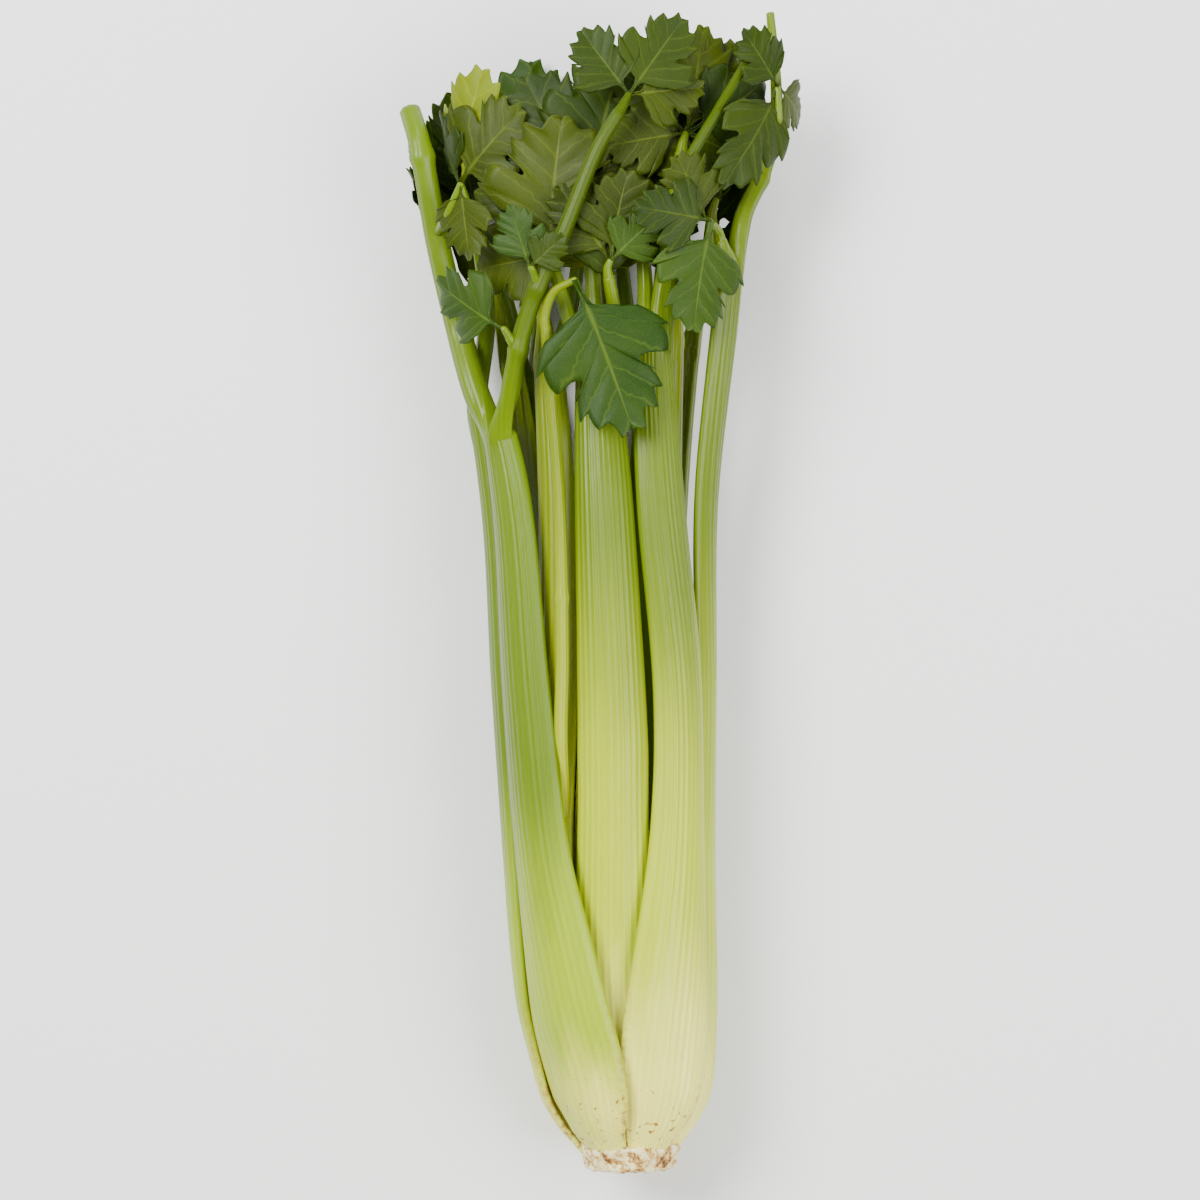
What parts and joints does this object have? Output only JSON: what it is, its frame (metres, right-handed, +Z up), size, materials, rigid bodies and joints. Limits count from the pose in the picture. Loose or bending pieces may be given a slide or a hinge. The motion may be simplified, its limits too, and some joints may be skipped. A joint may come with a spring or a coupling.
{
  "type": "head of celery",
  "caption": "Leafy head of celery lying on its side: ribbed curved stalks clasped round a trimmed root plate, forking into stems with toothed leaflets.",
  "frame": {"origin": "bottom centre of the whole head's bounding box as it lies on a surface", "axes": "+Y along the head from the root plate to the leaves, +Z up away from the surface it lies on, +X across the head to the right when seen from above with the leaves away"},
  "size_m": [0.1338, 0.3882, 0.074],
  "materials": {
    "stalk": "moist, waxy, finely ribbed green stalk, cream at the foot",
    "inner_stalk": "moist, paler inner stalk",
    "heart": "pale young stalk",
    "leaf": "dark green, slightly shiny leaf with paler veins",
    "pale_leaf": "young yellow-green leaf",
    "root_plate": "dry, rough cut root plate, browned at the rim"
  },
  "bodies": {
    "root": {"crown": "root_plate", "heart": "heart", "heart_leaves": "pale_leaf", "inner_leaves_left": "leaf", "inner_leaves_right": "leaf", "inner_leaves_under": "leaf", "inner_leaves_under_left": "leaf", "inner_leaves_under_right": "leaf", "inner_stalk_left": "inner_stalk", "inner_stalk_right": "inner_stalk", "inner_stalk_under": "inner_stalk", "inner_stalk_under_left": "inner_stalk", "inner_stalk_under_right": "inner_stalk", "leaf_hanging": "leaf", "leaf_left_front": "pale_leaf", "leaf_on_fork": "leaf", "leaf_over_left": "leaf", "leaves_fan": "leaf", "leaves_far_left": "leaf", "leaves_far_right": "leaf", "leaves_left": "leaf", "leaves_middle": "leaf", "leaves_middle_left": "leaf", "leaves_middle_right": "leaf", "leaves_right": "leaf", "leaves_right_deep": "leaf", "leaves_right_low": "leaf", "leaves_under_far_left": "leaf", "leaves_under_far_right": "leaf", "leaves_under_left": "leaf", "leaves_under_middle": "leaf", "leaves_under_middle_left": "leaf", "leaves_under_right": "leaf", "stalk_far_left": "stalk", "stalk_far_right": "stalk", "stalk_left": "stalk", "stalk_middle": "stalk", "stalk_right": "stalk", "stalk_under_left": "stalk", "stalk_under_right": "stalk"}
  },
  "joints": []
}
